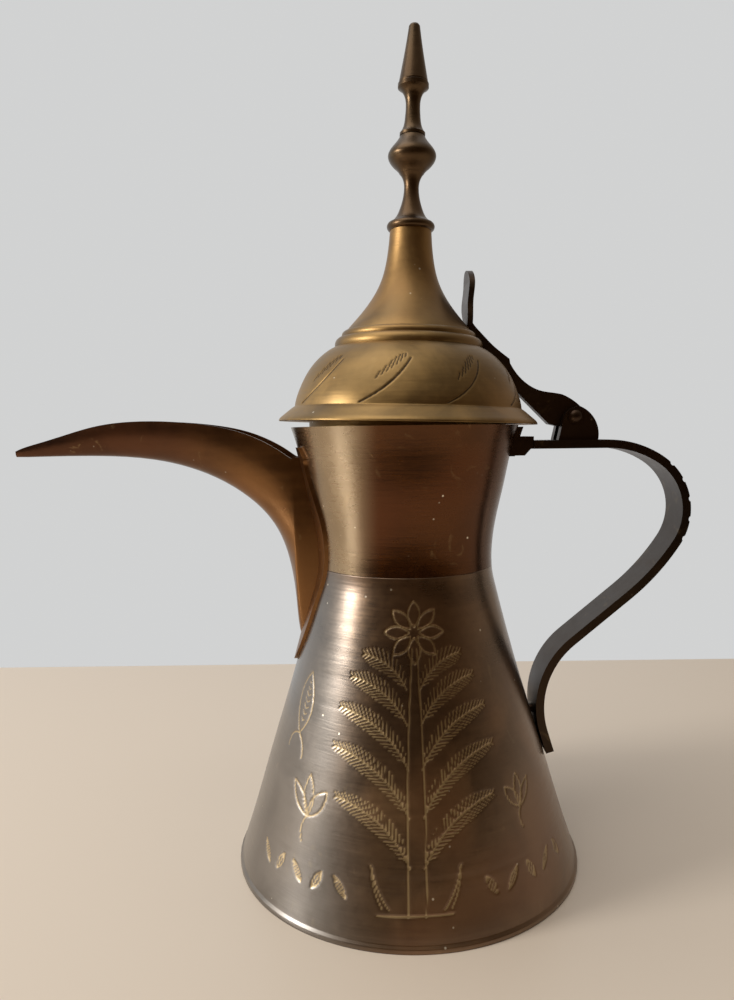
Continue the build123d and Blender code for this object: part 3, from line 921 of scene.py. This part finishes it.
def make_floor(tone):
    """A plain satin table top, whose rear edge shows behind the pot."""
    material = bpy.data.materials.new("Pale floor")
    material.use_nodes = True
    shader = material.node_tree.nodes["Principled BSDF"]
    shader.inputs["Base Color"].default_value = (*tone, 1.0)
    shader.inputs["Roughness"].default_value = 0.35
    (left, right), (front, rear) = FLOOR_SIDES, FLOOR_ENDS
    corners = [(left, front, 0), (right, front, 0), (right, rear, 0), (left, rear, 0)]
    mesh = bpy.data.meshes.new("floor")
    mesh.from_pydata(corners, [], [(0, 1, 2, 3)])
    mesh.materials.append(material)
    floor = bpy.data.objects.new("floor", mesh)
    bpy.context.scene.collection.objects.link(floor)


def make_world(tone):
    """A room: pale behind and at the left, browner at the right, dark towards the viewer."""
    world = bpy.data.worlds.new("Room")
    bpy.context.scene.world = world
    world.use_nodes = True
    tree = Tree(world.node_tree)
    direction = tree.node("ShaderNodeTexCoord").outputs["Generated"]
    to_rear = tree.step(tree.axis(direction, "Y"), -0.75, 0.25)
    to_right = tree.step(tree.axis(direction, "X"), 0.1, 0.8)
    to_ceiling = tree.step(tree.axis(direction, "Z"), 0.45, 0.95)
    walls = tree.blend(to_right, WALL_TONE, RIGHT_WALL_TONE)
    viewer_side = tree.blend(to_ceiling, FRONT_TONE, CEILING_TONE)
    room = tree.blend(to_rear, viewer_side, walls)
    seen = tree.value("ShaderNodeLightPath", output="Is Camera Ray")
    background = world.node_tree.nodes["Background"]
    tree.put(background.inputs["Color"], tree.blend(seen, room, (*tone, 1.0)))


def make_light(name, place, size, power, tint):
    """A square soft light that faces the middle of the pot."""
    data = bpy.data.lights.new(name, "AREA")
    data.shape = "SQUARE"
    data.size = size
    data.energy = power
    data.color = tint
    lamp = bpy.data.objects.new(name, data)
    bpy.context.scene.collection.objects.link(lamp)
    lamp.location = place
    lamp.rotation_euler = (LIT_POINT - Vector(place)).to_track_quat("-Z", "Y").to_euler()


def make_camera(distance, height, pitch, roll, sidestep):
    """A camera in front of the pot, tilted down and a little turned about its own view."""
    data = bpy.data.cameras.new("camera")
    data.sensor_width = 36.0
    data.lens = 27.0
    data.clip_start = 0.01
    camera = bpy.data.objects.new("camera", data)
    bpy.context.scene.collection.objects.link(camera)
    camera.location = (sidestep, -distance, height)
    camera.rotation_euler = (math.radians(90) - pitch, 0, 0)
    camera.rotation_euler.rotate_axis("Z", roll)
    bpy.context.scene.camera = camera


class POT_OT_stage(bpy.types.Operator):
    """Lay the floor, set the light and place the camera"""

    bl_idname = "pot.stage"
    bl_label = "Stage"

    PITCH = math.radians(5.158)
    ROLL = math.radians(-0.7)
    SIDESTEP = -0.0134

    def execute(self, context):
        stage = context.scene.pot_stage
        make_floor(stage.floor)
        make_world(stage.backdrop)
        make_light(
            "window", place=(-1.12, -0.33, 0.46), size=0.32, power=stage.window, tint=DAYLIGHT
        )
        make_light("overhead", place=(-0.45, -0.25, 1.2), size=1.0, power=stage.fill, tint=WHITE)
        make_camera(
            stage.camera_distance, stage.camera_height, self.PITCH, self.ROLL, self.SIDESTEP
        )
        return {"FINISHED"}


# ---- Add-on --------------------------------------------------------------------------------
OPERATORS = (
    POT_OT_stage, POT_OT_skirt, POT_OT_dome, POT_OT_neck, POT_OT_handle, POT_OT_hinge,
    POT_OT_finial,
)


class POT_PT_panel(bpy.types.Panel):
    """Lists the pot's pieces and their sizes and colours"""

    bl_idname = "POT_PT_panel"
    bl_label = "Coffee pot"
    bl_space_type = "VIEW_3D"
    bl_region_type = "UI"
    bl_category = "Coffee pot"

    def draw(self, context):
        for group in (
            context.scene.pot_colours, context.scene.pot_engraving, context.scene.pot_stage
        ):
            box = self.layout.box()
            for name in group.__annotations__:
                box.prop(group, name)
        for operator in OPERATORS:
            self.layout.operator(operator.bl_idname)


CLASSES = (PotColours, PotEngraving, PotStage, *OPERATORS, POT_PT_panel)


def register():
    for item in CLASSES:
        bpy.utils.register_class(item)
    bpy.types.Scene.pot_colours = PointerProperty(type=PotColours)
    bpy.types.Scene.pot_engraving = PointerProperty(type=PotEngraving)
    bpy.types.Scene.pot_stage = PointerProperty(type=PotStage)


def unregister():
    for name in ("pot_colours", "pot_engraving", "pot_stage"):
        delattr(bpy.types.Scene, name)
    for item in reversed(CLASSES):
        bpy.utils.unregister_class(item)


def main():
    register()
    bpy.context.scene.view_settings.view_transform = "Standard"
    for operator in OPERATORS:
        group, name = operator.bl_idname.split(".")
        getattr(getattr(bpy.ops, group), name)()


if __name__ == "__main__":
    main()
